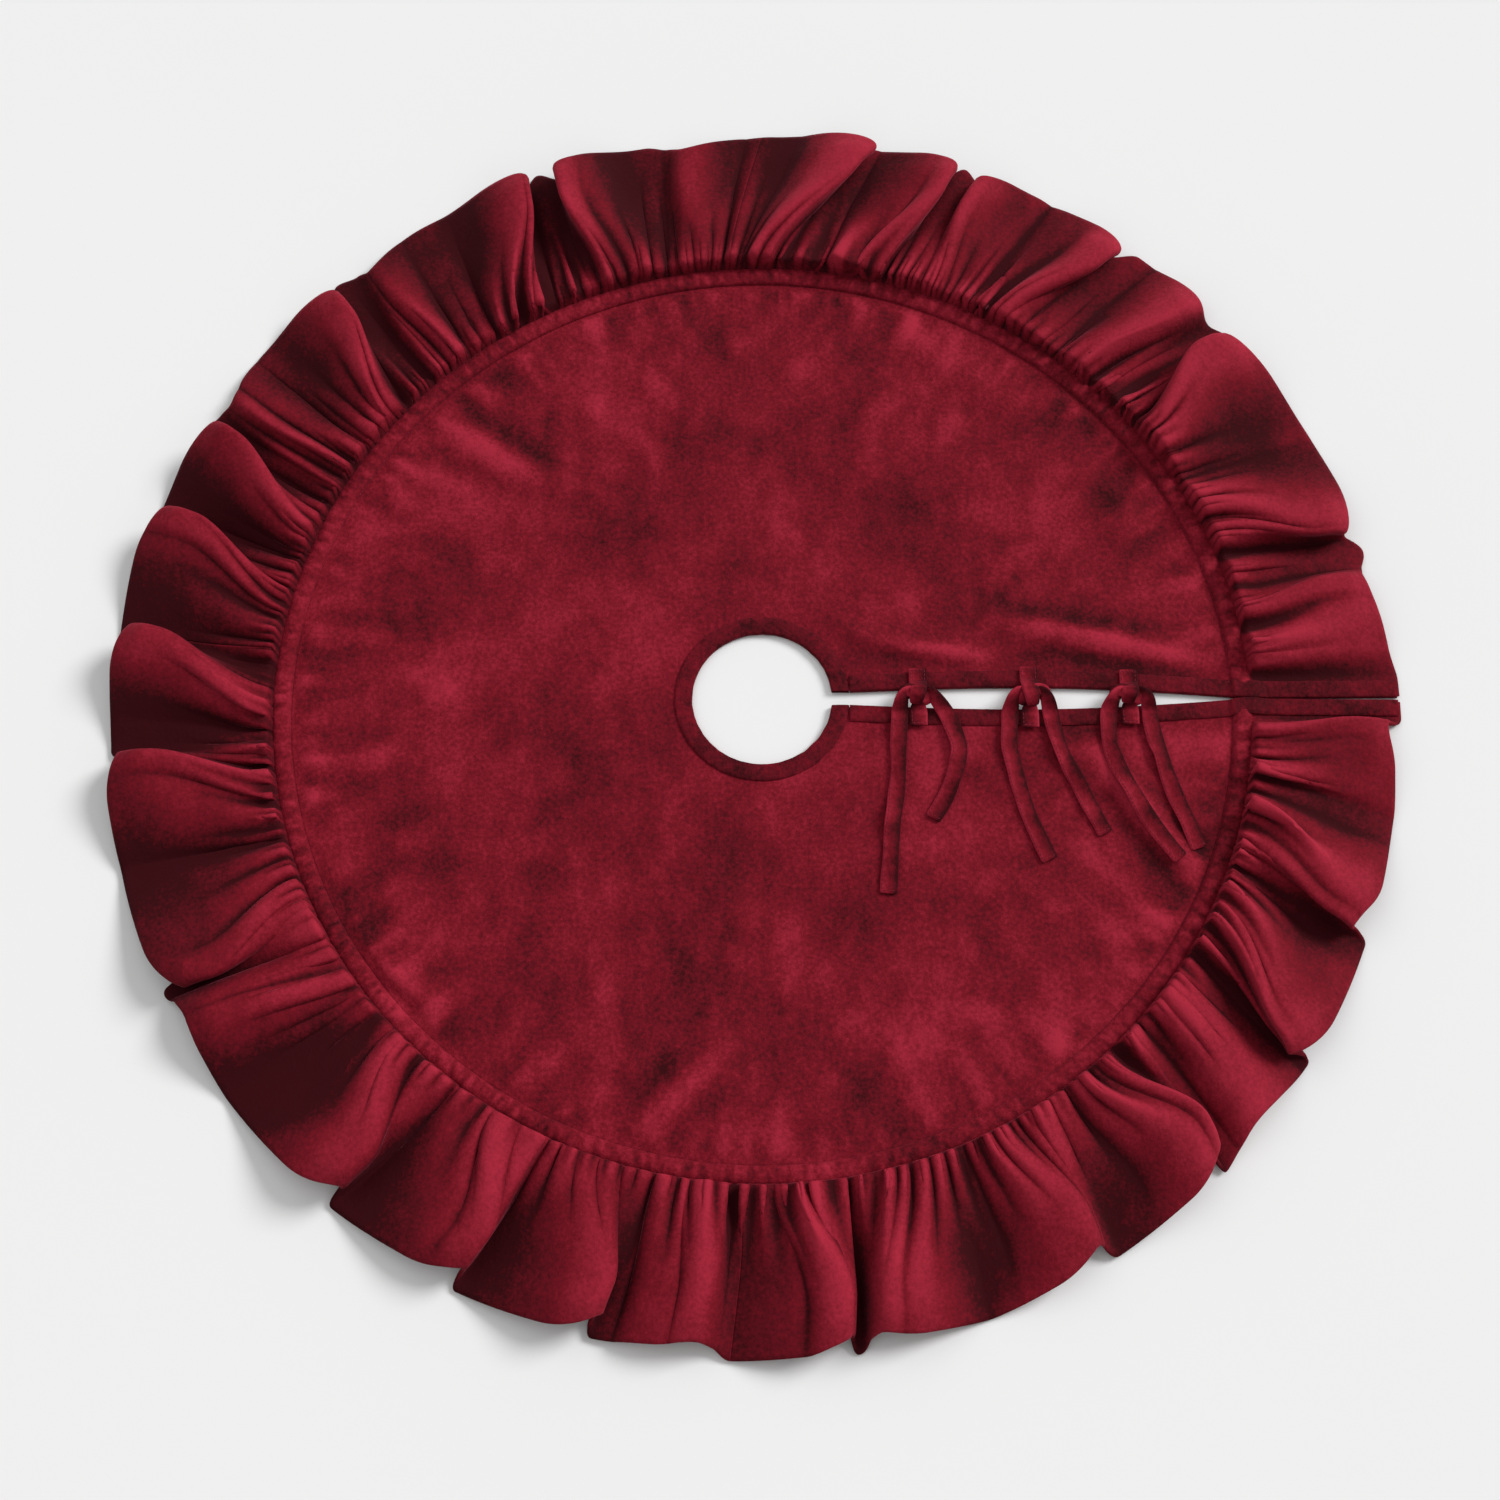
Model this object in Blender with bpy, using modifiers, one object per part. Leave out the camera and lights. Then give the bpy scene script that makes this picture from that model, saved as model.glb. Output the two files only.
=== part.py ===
"""Tree skirt: a round lined velvet panel with a gathered ruffle, a slit to the hem and three pairs of ties.

Metres, +Z up. The origin is on the floor below the centre of the trunk hole, and the slit runs along +X.
Each tie is a root, stitched to the binding and tied into a knot over the slit, and a loose tail.
A tail turns about a level axis through its knot, from lying on the near flap to lying back over the far one.
"""
import math

import bmesh
import bpy
from mathutils import Vector

# Overall sizes.
OVERALL_RADIUS = 0.610
SEAM_RADIUS = 0.465
HOLE_RADIUS = 0.0675
FOLD_HEIGHT = 0.040

# Cloth thicknesses, pile included, and the clearance between neighbours.
VELVET_CLOTH = 0.0016
BACKING_CLOTH = 0.0008
RUFFLE_CLOTH = 0.0027
BINDING_CLOTH = 0.0010
TOUCH_GAP = 0.0003

# Width of the slit between its bound edges.
GAP_AT_HOLE = 0.0130
GAP_IN_MIDDLE = 0.0240
GAP_AT_SEAM = 0.0016
GAP_AT_HEM = 0.0040
WIDEST_SHARE = 0.45

# Bindings, seam ridge and threads.
BINDING_WIDTH = 0.0160
RIDGE_WIDTH = 0.0120
RIDGE_RISE = 0.0020
RIDGE_LIP = 0.0008
HEADING_CLEARANCE = 0.0015
STITCH_INSET = 0.0015
THREAD_RADIUS = 0.00025

# Ties, and where each knot sits as a share of the way from the hole to the ruffle seam.
TIE_WIDTH = 0.0170
TIE_THICKNESS = 0.0030
KNOT_SHARES = (0.205, 0.472, 0.712)
TACK_MARGIN = 0.0030
TACK_INSET = 0.0020
TACK_LENGTH = 0.0130
KNOT_LAP = 0.0090
CLIMB_SHARE = 0.333
TAIL_SIDE_GAP = 0.0003
TAIL_FALL_RUN = 0.0240
TAIL_END_CLEARANCE = 0.0128

# Each tail, first pair to third: side of its knot, length down the flap, lean towards the hem as a
# share of the clear panel beside it, and how far its middle bows away from the knot's tabs.
# A lean grows with this power of the way down, so that a tail turns aside slowly at first.
LEAN_POWER = 1.4
TAILS = (
    ("left", 0.196, -0.057, 0.002),
    ("right", 0.122, -0.025, 0.020),
    ("left", 0.163, 0.187, 0.006),
    ("right", 0.137, 0.349, 0.006),
    ("left", 0.163, 0.800, 0.008),
    ("right", 0.152, 1.000, 0.004),
)

# Ruffle folds.
RUFFLE_PIECES = 4
FOLDS_PER_PIECE = 8
FOLD_PULL_IN = 0.012
FOLD_RUN = 0.070
SETTLE_RUN = 0.018
FLAT_AT_JOIN = 0.006
FLAT_BESIDE_SLIT = 0.003
RISE_BESIDE_SLIT = 0.030
FOLD_UNEVENNESS = 0.14
FOLD_BEAT = 12.0
FOLD_PHASE = 1.0

# Mesh fineness.
TURN_STEPS = 72
STEPS_PER_FOLD = 6
RUFFLE_ROWS = (0.36, 0.64, 1.0)
BINDING_STEPS = 14
CUTTER_STEPS = 24
TAIL_STEPS = 9

# Levels that follow from the cloths, from the floor up.
BACKING_LOW = BINDING_CLOTH + TOUCH_GAP
BACKING_TOP = BACKING_LOW + BACKING_CLOTH
VELVET_LOW = BACKING_TOP + TOUCH_GAP
VELVET_TOP = VELVET_LOW + VELVET_CLOTH
HEADING_MIDDLE = VELVET_LOW + RUFFLE_CLOTH / 2
RIDGE_LOW = VELVET_LOW + RUFFLE_CLOTH + TOUCH_GAP
RIDGE_TOP = RIDGE_LOW + VELVET_CLOTH
RUFFLE_BOUND_MIDDLE = BACKING_LOW + RUFFLE_CLOTH / 2
RUFFLE_BOUND_TOP = BACKING_LOW + RUFFLE_CLOTH
RUFFLE_REST_MIDDLE = RUFFLE_CLOTH / 2 + TOUCH_GAP
LAYERS_TOP = max(VELVET_TOP, RUFFLE_BOUND_TOP)
BINDING_TOP = LAYERS_TOP + TOUCH_GAP + BINDING_CLOTH
THREAD_LIFT = TOUCH_GAP + THREAD_RADIUS
TAB_MIDDLE = BINDING_TOP + 2 * THREAD_LIFT + TOUCH_GAP + TIE_THICKNESS / 2
OVERTIE_MIDDLE = TAB_MIDDLE + TIE_THICKNESS + TOUCH_GAP
AXIS_HEIGHT = TAB_MIDDLE + TIE_THICKNESS
TAIL_ON_PANEL = VELVET_TOP + TOUCH_GAP + TIE_THICKNESS / 2

# Radii that follow from the driving sizes.
BOUND_EDGE = BINDING_CLOTH + TOUCH_GAP
HOLE_BINDING_OUTER = HOLE_RADIUS + BINDING_WIDTH
RIDGE_INNER = SEAM_RADIUS - RIDGE_WIDTH
TOPSTITCH_RADIUS = RIDGE_INNER - RIDGE_RISE - STITCH_INSET
HEADING_RADIUS = RIDGE_INNER + HEADING_CLEARANCE
RUFFLE_FREE_RADIUS = SEAM_RADIUS + RIDGE_LIP + HEADING_CLEARANCE
CLEAR_PANEL_RADIUS = TOPSTITCH_RADIUS - THREAD_LIFT - TAIL_END_CLEARANCE


def clear_scene():
    for thing in list(bpy.data.objects):
        bpy.data.objects.remove(thing, do_unlink=True)


def new_collection(name):
    group = bpy.data.collections.new(name)
    bpy.context.scene.collection.children.link(group)
    return group


def cloth_material(name, colour, roughness, sheen):
    material = bpy.data.materials.new(name)
    material.use_nodes = True
    shader = material.node_tree.nodes["Principled BSDF"]
    shader.inputs["Base Color"].default_value = (*colour, 1.0)
    shader.inputs["Roughness"].default_value = roughness
    shader.inputs["Metallic"].default_value = 0.0
    shader.inputs["Sheen Weight"].default_value = sheen
    return material


def place(thing, group, material=None):
    group.objects.link(thing)
    if material:
        thing.data.materials.append(material)
    return thing


def mesh_object(name, bm, group, material=None):
    mesh = bpy.data.meshes.new(name)
    bm.to_mesh(mesh)
    bm.free()
    return place(bpy.data.objects.new(name, mesh), group, material)


def smooth_step(value):
    value = min(1.0, max(0.0, value))
    return value * value * (3.0 - 2.0 * value)


def between(value, stops):
    """Read a value off straight lines drawn through (place, level) stops."""
    for (x0, y0), (x1, y1) in zip(stops, stops[1:]):
        if value <= x1:
            share = max(0.0, (value - x0) / (x1 - x0))
            return y0 + (y1 - y0) * share
    return stops[-1][1]


def slit_edge(x):
    """Distance from the slit's centre line to its bound edge."""
    middle = HOLE_RADIUS + WIDEST_SHARE * (SEAM_RADIUS - HOLE_RADIUS)
    if x <= middle:
        opening = math.sin(math.pi / 2 * max(0.0, (x - HOLE_RADIUS) / (middle - HOLE_RADIUS)))
        return (GAP_AT_HOLE + (GAP_IN_MIDDLE - GAP_AT_HOLE) * opening) / 2
    if x <= SEAM_RADIUS:
        opening = math.cos(math.pi / 2 * (x - middle) / (SEAM_RADIUS - middle))
        return (GAP_AT_SEAM + (GAP_IN_MIDDLE - GAP_AT_SEAM) * opening) / 2
    spread = (x - SEAM_RADIUS) / (OVERALL_RADIUS - SEAM_RADIUS)
    return (GAP_AT_SEAM + (GAP_AT_HEM - GAP_AT_SEAM) * spread) / 2


def cut_edge(x):
    """Distance from the slit's centre line to the cut edge of the cloth inside the binding."""
    return slit_edge(x) + BOUND_EDGE


def layers_top(x):
    """Top of the layers that the slit binding wraps, with the seam ridge as a low hump."""
    ramp = 2 * RIDGE_RISE
    return between(x, (
        (RIDGE_INNER - ramp, LAYERS_TOP),
        (RIDGE_INNER - ramp / 2, RIDGE_TOP),
        (RUFFLE_FREE_RADIUS, RIDGE_TOP),
        (RUFFLE_FREE_RADIUS + SETTLE_RUN, LAYERS_TOP),
    ))


def slit_stations():
    """Places along the slit: close together where its edge bends, and at both sides of the ridge."""
    start = HOLE_BINDING_OUTER + TOUCH_GAP
    end = math.sqrt(OVERALL_RADIUS ** 2 - (GAP_AT_HEM / 2 + BINDING_WIDTH) ** 2)
    ridge = (RIDGE_INNER - 2 * RIDGE_RISE, RIDGE_INNER - RIDGE_RISE, SEAM_RADIUS, RUFFLE_FREE_RADIUS,
             RUFFLE_FREE_RADIUS + SETTLE_RUN)
    inner = [start + (ridge[0] - start) * step / BINDING_STEPS for step in range(BINDING_STEPS)]
    return inner + list(ridge) + [(ridge[-1] + end) / 2, end]


def sweep(sections):
    """A closed solid from one outline extruded through sections that have the same points."""
    bm = bmesh.new()
    first = bm.faces.new([bm.verts.new(point) for point in sections[0]])
    end = first
    for last, section in zip(sections, sections[1:]):
        made = bmesh.ops.extrude_face_region(bm, geom=[end])["geom"]
        if end is not first:
            bmesh.ops.delete(bm, geom=[end], context="FACES_ONLY")
        end = [item for item in made if isinstance(item, bmesh.types.BMFace)][0]
        for vert in end.verts:
            nearest = min(range(len(last)), key=lambda i: (vert.co - Vector(last[i])).length)
            vert.co = section[nearest]
    bmesh.ops.recalc_face_normals(bm, faces=bm.faces)
    return bm


def turned(name, profile, group, material):
    """A closed profile, down its outer side and back up its inner side, turned about Z."""
    bm = bmesh.new()
    verts = [bm.verts.new((radius, 0.0, height)) for radius, height in profile]
    for first, second in zip(verts, verts[1:] + verts[:1]):
        bm.edges.new((first, second))
    thing = mesh_object(name, bm, group, material)
    screw = thing.modifiers.new("turn", "SCREW")
    screw.axis = "Z"
    screw.steps = TURN_STEPS
    screw.render_steps = TURN_STEPS
    screw.use_merge_vertices = True
    screw.merge_threshold = 0.00001
    return thing


def cut_by(thing, cutter):
    cut = thing.modifiers.new("slit", "BOOLEAN")
    cut.operation = "DIFFERENCE"
    cut.object = cutter


def slit_cutter(name, edge, end, group):
    """A tall wedge that opens the slit from the hole outwards, as wide as edge says on each side."""
    low = -BINDING_TOP
    high = 2 * RIDGE_TOP
    start = HOLE_RADIUS / 2
    sections = []
    for step in range(CUTTER_STEPS + 1):
        x = start + (end - start) * step / CUTTER_STEPS
        half = edge(x)
        sections.append([(x, -half, low), (x, half, low), (x, half, high), (x, -half, high)])
    cutter = mesh_object(name, sweep(sections), group)
    cutter.hide_render = True
    cutter.display_type = "WIRE"
    return cutter


def velvet_panel(group, material, cutter):
    """The face cloth, lifted over the ruffle's heading into a ridge along its outer seam."""
    lip = SEAM_RADIUS + RIDGE_LIP
    inner = HOLE_RADIUS + BOUND_EDGE
    round_off = VELVET_CLOTH / 3
    profile = (
        (lip - round_off, RIDGE_TOP),
        (lip, RIDGE_TOP - round_off),
        (lip, RIDGE_LOW),
        (RIDGE_INNER, RIDGE_LOW),
        (RIDGE_INNER - RIDGE_RISE, VELVET_LOW),
        (inner, VELVET_LOW),
        (inner, VELVET_TOP),
        (RIDGE_INNER - RIDGE_RISE, VELVET_TOP),
        (RIDGE_INNER, RIDGE_TOP),
    )
    cut_by(turned("velvet_panel", profile, group, material), cutter)


def backing_panel(group, material, cutter):
    inner = HOLE_RADIUS + BOUND_EDGE
    outer = SEAM_RADIUS
    profile = ((outer, BACKING_TOP), (outer, BACKING_LOW), (inner, BACKING_LOW), (inner, BACKING_TOP))
    cut_by(turned("backing_panel", profile, group, material), cutter)


def hole_binding(group, material, cutter):
    """A folded strip around the hole's edge, its fold at the hole and its two legs on the cloth."""
    fold = HOLE_RADIUS
    wall = HOLE_RADIUS + BINDING_CLOTH
    outer = HOLE_BINDING_OUTER
    under = BINDING_CLOTH
    over = BINDING_TOP - BINDING_CLOTH
    profile = (
        (outer, BINDING_TOP),
        (outer, over),
        (wall, over),
        (wall, under),
        (outer, under),
        (outer, 0.0),
        (fold, 0.0),
        (fold, BINDING_TOP),
    )
    cut_by(turned("hole_binding", profile, group, material), cutter)


def slit_binding(name, side, group, material):
    """A folded strip along one edge of the slit, from the hole binding to the hem."""
    sections = []
    for x in slit_stations():
        fold = slit_edge(x)
        inner = fold + BINDING_WIDTH
        wall = fold + BINDING_CLOTH
        over = layers_top(x) + TOUCH_GAP
        outline = (
            (fold, 0.0),
            (inner, 0.0),
            (inner, BINDING_CLOTH),
            (wall, BINDING_CLOTH),
            (wall, over),
            (inner, over),
            (inner, over + BINDING_CLOTH),
            (fold, over + BINDING_CLOTH),
        )
        sections.append([(x, side * y, z) for y, z in outline])
    mesh_object(name, sweep(sections), group, material)


def ruffle_piece(index, group, material):
    """One joined length of the doubled strip, gathered into the seam and falling in folds outside it."""
    free = OVERALL_RADIUS - RUFFLE_FREE_RADIUS
    rows = [HEADING_RADIUS, RUFFLE_FREE_RADIUS]
    rows += [RUFFLE_FREE_RADIUS + SETTLE_RUN / 2, RUFFLE_FREE_RADIUS + SETTLE_RUN]
    rows += [RUFFLE_FREE_RADIUS + free * share for share in RUFFLE_ROWS]
    columns = FOLDS_PER_PIECE * STEPS_PER_FOLD + 2
    bm = bmesh.new()
    bmesh.ops.create_grid(bm, x_segments=columns, y_segments=len(rows) - 1, size=0.5)
    for vert in bm.verts:
        column = round((vert.co.x + 0.5) * columns)
        row = round((vert.co.y + 0.5) * (len(rows) - 1))
        vert.co = ruffle_point(index, column, columns, rows[row])
    bmesh.ops.recalc_face_normals(bm, faces=bm.faces)
    thing = mesh_object("ruffle_{}".format(index + 1), bm, group, material)
    thickness = thing.modifiers.new("doubled cloth", "SOLIDIFY")
    thickness.thickness = RUFFLE_CLOTH
    thickness.offset = 0.0
    thickness.use_even_offset = True


def ruffle_span(index, radius):
    """Angles where a piece starts, where its folds start and end, and where it ends, at one radius."""
    quarter = 2 * math.pi / RUFFLE_PIECES
    bound = (BINDING_WIDTH - BOUND_EDGE + FLAT_BESIDE_SLIT) / radius
    at_slit = math.asin(cut_edge(radius) / radius)
    at_join = TOUCH_GAP / 2 / radius
    sewn = FLAT_AT_JOIN / radius
    start = quarter * index + (at_join if index else at_slit)
    end = quarter * (index + 1) - (at_join if index < RUFFLE_PIECES - 1 else at_slit)
    return (
        start,
        start + (sewn if index else bound),
        end - (sewn if index < RUFFLE_PIECES - 1 else bound),
        end,
    )


def ruffle_point(index, column, columns, radius):
    """Where a point of the ruffle's middle surface lies. The first and last strips are flat, for the joins."""
    start, first, last, end = ruffle_span(index, radius)
    folded = min(1.0, max(0.0, (column - 1) / (columns - 2)))
    angle = first + (last - first) * folded
    if column == 0:
        angle = start
    if column == columns:
        angle = end
    wave = (1 - math.cos(2 * math.pi * FOLDS_PER_PIECE * folded)) / 2
    wave *= 1 - FOLD_UNEVENNESS * (1 - math.cos(FOLD_BEAT * angle + FOLD_PHASE))
    from_slit = radius * min(angle, 2 * math.pi - angle) - slit_edge(radius) - BINDING_WIDTH
    freed = smooth_step((from_slit - FLAT_BESIDE_SLIT) / RISE_BESIDE_SLIT)
    settled = smooth_step((radius - RUFFLE_FREE_RADIUS) / SETTLE_RUN)
    risen = smooth_step((radius - RUFFLE_FREE_RADIUS) / FOLD_RUN)
    resting = RUFFLE_BOUND_MIDDLE + (RUFFLE_REST_MIDDLE - RUFFLE_BOUND_MIDDLE) * freed
    height = HEADING_MIDDLE + (resting - HEADING_MIDDLE) * settled
    height += (FOLD_HEIGHT - RUFFLE_CLOTH) * wave * risen * freed
    reach = radius - FOLD_PULL_IN * wave * risen * freed
    return (reach * math.cos(angle), reach * math.sin(angle), height)


def curve_object(name, points, depth, group, material, cyclic=False):
    """A tube through the points, its ends closed."""
    data = bpy.data.curves.new(name, "CURVE")
    data.dimensions = "3D"
    data.twist_mode = "Z_UP"
    data.bevel_depth = depth
    data.bevel_resolution = 0
    data.use_fill_caps = True
    spline = data.splines.new("POLY")
    spline.points.add(len(points) - 1)
    for target, point in zip(spline.points, points):
        target.co = (*point, 1.0)
    spline.use_cyclic_u = cyclic
    return place(bpy.data.objects.new(name, data), group, material)


def ribbon(name, points, group, material):
    """A flat tube of cloth, laid with its width level."""
    thing = curve_object(name, points, TIE_THICKNESS / 2, group, material)
    thing.data.bevel_resolution = 1
    thing.data.extrude = (TIE_WIDTH - TIE_THICKNESS) / 2
    for point in thing.data.splines[0].points:
        point.tilt = math.pi / 2
    return thing


def arc_thread(name, radius, height, group, material):
    """A row of stitching around the skirt, from one slit binding to the other."""
    if radius > HOLE_BINDING_OUTER:
        clear = slit_edge(radius) + BINDING_WIDTH + 2 * THREAD_LIFT
    else:
        clear = slit_edge(radius) + 2 * THREAD_LIFT
    start = math.asin(clear / radius)
    turn = 2 * math.pi - 2 * start
    angles = [start + turn * step / TURN_STEPS for step in range(TURN_STEPS + 1)]
    points = [(radius * math.cos(angle), radius * math.sin(angle), height) for angle in angles]
    curve_object(name, points, THREAD_RADIUS, group, material)


def slit_thread(name, side, group, material):
    """The row of stitching along the inner edge of a slit binding."""
    stations = slit_stations()
    points = []
    for x in stations:
        y = slit_edge(x) + BINDING_WIDTH - STITCH_INSET
        z = layers_top(x) + TOUCH_GAP + BINDING_CLOTH + THREAD_LIFT
        points.append((x, side * y, z))
    points[0] = (stations[0] + STITCH_INSET, points[0][1], points[0][2])
    points[-1] = (stations[-1] - STITCH_INSET, points[-1][1], points[-1][2])
    curve_object(name, points, THREAD_RADIUS, group, material)


def knot_places():
    """The three knots, as shares of the slit's way from the hole to the ruffle seam."""
    return [HOLE_RADIUS + (SEAM_RADIUS - HOLE_RADIUS) * share for share in KNOT_SHARES]


def tab_end(x):
    return slit_edge(x) + BINDING_WIDTH + TACK_MARGIN


def tie_roots(number, x, group, material):
    """Two stitched-down tabs whose ends cross over the slit, the far one on top."""
    outer = tab_end(x)
    edge = slit_edge(x)
    climb = edge * CLIMB_SHARE
    over = [(x, outer, TAB_MIDDLE), (x, edge + TACK_MARGIN, TAB_MIDDLE), (x, climb, OVERTIE_MIDDLE),
            (x, -KNOT_LAP, OVERTIE_MIDDLE)]
    under = [(x, -outer, TAB_MIDDLE), (x, -edge, TAB_MIDDLE), (x, climb / 2, TAB_MIDDLE)]
    ribbon("tie_{}_far_root".format(number), over, group, material)
    ribbon("tie_{}_near_root".format(number), under, group, material)


def tack_thread(name, x, side, group, material):
    """A box of stitches through a tab's end."""
    half = TIE_WIDTH / 2 - TACK_INSET
    outer = tab_end(x) - TACK_INSET
    inner = outer - TACK_LENGTH
    z = TAB_MIDDLE + TIE_THICKNESS / 2 + THREAD_LIFT
    corners = [(-half, outer), (half, outer), (half, inner), (-half, inner)]
    points = [(x + across, side * y, z) for across, y in corners]
    curve_object(name, points, THREAD_RADIUS, group, material, cyclic=True)


def tail_route(knot, side, length, lean, bow):
    """A tail's middle line: off its knot, over the near binding, then down the near flap."""
    start = knot + side * (TIE_WIDTH + TAIL_SIDE_GAP)
    straight = tab_end(knot) + TACK_MARGIN
    limit = math.sqrt(CLEAR_PANEL_RADIUS ** 2 - length ** 2)
    edge = slit_edge(knot)
    levels = (
        (0.0, AXIS_HEIGHT),
        (TIE_THICKNESS, AXIS_HEIGHT),
        (edge, TAB_MIDDLE),
        (straight, TAB_MIDDLE),
        (straight + TAIL_FALL_RUN, TAIL_ON_PANEL),
    )
    downs = [down for down, _ in levels]
    landed = downs[-1]
    downs += [landed + (length - landed) * (step + 1) / TAIL_STEPS for step in range(TAIL_STEPS)]
    points = []
    for down in downs:
        share = max(0.0, (down - straight) / (length - straight))
        aside = lean * (limit - start) * share ** LEAN_POWER
        bowed = side * bow * math.sin(math.pi * down / length)
        points.append((start + aside + bowed, -down, between(down, levels)))
    return points


def tie_tail(number, knot, tail, group, material):
    """A loose tail, hung from an empty on its knot's axis."""
    side_name, length, lean, bow = tail
    side = -1 if side_name == "left" else 1
    points = tail_route(knot, side, length, lean, bow)
    pivot = bpy.data.objects.new("pivot_{}_{}".format(number, side_name), None)
    pivot.location = (points[0][0], 0.0, AXIS_HEIGHT)
    group.objects.link(pivot)
    local = [tuple(a - b for a, b in zip(point, pivot.location)) for point in points]
    thing = ribbon("tie_{}_{}_tail".format(number, side_name), local, group, material)
    thing.parent = pivot


def build():
    clear_scene()
    parts = new_collection("tree_skirt")
    cutters = new_collection("cutters")
    velvet = cloth_material("burgundy velvet", (0.195, 0.008, 0.019), 0.80, 1.0)
    lining = cloth_material("burgundy lining", (0.120, 0.010, 0.018), 0.70, 0.1)
    thread = cloth_material("burgundy thread", (0.230, 0.015, 0.028), 0.55, 0.2)

    panel_cut = slit_cutter("panel_slit", cut_edge, OVERALL_RADIUS, cutters)
    mouth_cut = slit_cutter("hole_binding_slit", slit_edge, 2 * HOLE_BINDING_OUTER, cutters)
    velvet_panel(parts, velvet, panel_cut)
    backing_panel(parts, lining, panel_cut)
    hole_binding(parts, velvet, mouth_cut)
    for name, side in (("far", 1), ("near", -1)):
        slit_binding("slit_binding_" + name, side, parts, velvet)
        slit_thread("slit_stitching_" + name, side, parts, thread)
    for index in range(RUFFLE_PIECES):
        ruffle_piece(index, parts, velvet)
    arc_thread("seam_topstitching", TOPSTITCH_RADIUS, VELVET_TOP + THREAD_LIFT, parts, thread)
    arc_thread("hole_stitching", HOLE_BINDING_OUTER - STITCH_INSET, BINDING_TOP + THREAD_LIFT, parts, thread)

    for index, knot in enumerate(knot_places()):
        number = index + 1
        tie_roots(number, knot, parts, velvet)
        tack_thread("tie_{}_far_tack".format(number), knot, 1, parts, thread)
        tack_thread("tie_{}_near_tack".format(number), knot, -1, parts, thread)
        for tail in TAILS[2 * index:2 * index + 2]:
            tie_tail(number, knot, tail, parts, velvet)


build()
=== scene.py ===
import math

import bmesh
import bpy
import numpy as np
from mathutils import Matrix, Vector, noise


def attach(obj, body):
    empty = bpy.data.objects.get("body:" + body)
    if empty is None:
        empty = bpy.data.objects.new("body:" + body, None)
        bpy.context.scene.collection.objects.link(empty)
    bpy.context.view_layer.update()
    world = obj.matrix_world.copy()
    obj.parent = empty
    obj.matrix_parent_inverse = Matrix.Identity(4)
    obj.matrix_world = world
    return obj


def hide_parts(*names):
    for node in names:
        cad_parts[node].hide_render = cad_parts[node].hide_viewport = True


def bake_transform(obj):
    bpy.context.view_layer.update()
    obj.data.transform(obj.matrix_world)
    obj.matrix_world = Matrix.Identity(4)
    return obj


# Looks of a round velvet tree skirt. Metres, +Z up, the trunk hole at the origin and the slit along +X.
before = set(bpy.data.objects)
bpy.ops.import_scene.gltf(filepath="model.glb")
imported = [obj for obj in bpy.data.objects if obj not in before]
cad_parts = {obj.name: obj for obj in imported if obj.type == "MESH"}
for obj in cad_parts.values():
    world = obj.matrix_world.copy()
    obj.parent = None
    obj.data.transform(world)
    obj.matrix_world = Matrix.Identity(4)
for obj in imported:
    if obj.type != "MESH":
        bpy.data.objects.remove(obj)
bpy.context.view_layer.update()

# Sizes shared with the fixed parts.
OVERALL_RADIUS = 0.610
SEAM_RADIUS = 0.465
HOLE_RADIUS = 0.0675
GAP_AT_HOLE = 0.0130
GAP_IN_MIDDLE = 0.0240
GAP_AT_SEAM = 0.0016
GAP_AT_HEM = 0.0040
WIDEST_SHARE = 0.45
BINDING_WIDTH = 0.0160
TIE_WIDTH = 0.0170
KNOT_SHARES = (0.205, 0.472, 0.712)
TAIL_PITCH = 0.0173
CLEAR_PANEL_RADIUS = 0.4362
LEAN_POWER = 1.4
TACK_MARGIN = 0.0030
TAIL_FALL_RUN = 0.0240
# Which way each half knot is tied: 1 slants down towards the trunk hole, -1 towards the hem.
KNOT_WAYS = (1, -1, 1)

# Levels of the layers, from the floor up.
LINING_LEVEL = 0.0017
PANEL_LEVEL = 0.0033
PANEL_TOP = 0.0040
BINDING_TOP = 0.0053
RIDGE_OUTER_LEVEL = 0.0036
RIDGE_RISE = 0.0046
HEADING_LEVEL = 0.0038
RUFFLE_LEVEL = 0.0021
TAB_LEVEL = 0.0082
TAIL_LEVEL = 0.0058
FLOOR_LEVEL = -0.0004

# Radii of the seam, from the topstitching out to where the ruffle comes free.
TOPSTITCH_RADIUS = 0.4495
RIDGE_INNER = 0.4505
RIDGE_OUTER = 0.4668
HEADING_RADIUS = 0.4560
FREE_RADIUS = 0.4672
HOLE_BINDING_OUTER = HOLE_RADIUS + BINDING_WIDTH
PANEL_INSET = 0.0015
RIDGE_OVERLAP = 0.0025
LAYERS_RISE = 0.0034

# Cloth thicknesses as they look, pile included.
PANEL_CLOTH = 0.0012
LINING_CLOTH = 0.0006
RUFFLE_CLOTH = 0.0038
BINDING_CLOTH = 0.0010
TIE_THICKNESS = 0.0030
BINDING_ROUNDING = 0.0003
BINDING_PUFF = 0.0006
BINDING_UNEVEN = 0.0006
BINDING_DIMPLE = 0.00035

# Columns and rows of each cloth's grid.
PANEL_GRID = (620, 72)
LINING_GRID = (240, 60)
RIDGE_GRID = (1300, 12)
HOLE_BINDING_GRID = (320, 24)
SLIT_BINDING_GRID = (360, 24)

# Flat sizes that the cloth is cut to, width and length.
FAR_TAB_WRAP = 0.014

# Stitches.
STITCH_LENGTH = 0.0031
STITCH_PITCH = 0.0040
STITCH_THICKNESS = 0.00075
STITCH_INSET = 0.0022
STITCH_LIFT = 0.0003
STITCH_BATCH = 600
TAIL_STITCH_SHARE = 0.8
TACK_LENGTH = 0.0125

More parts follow.
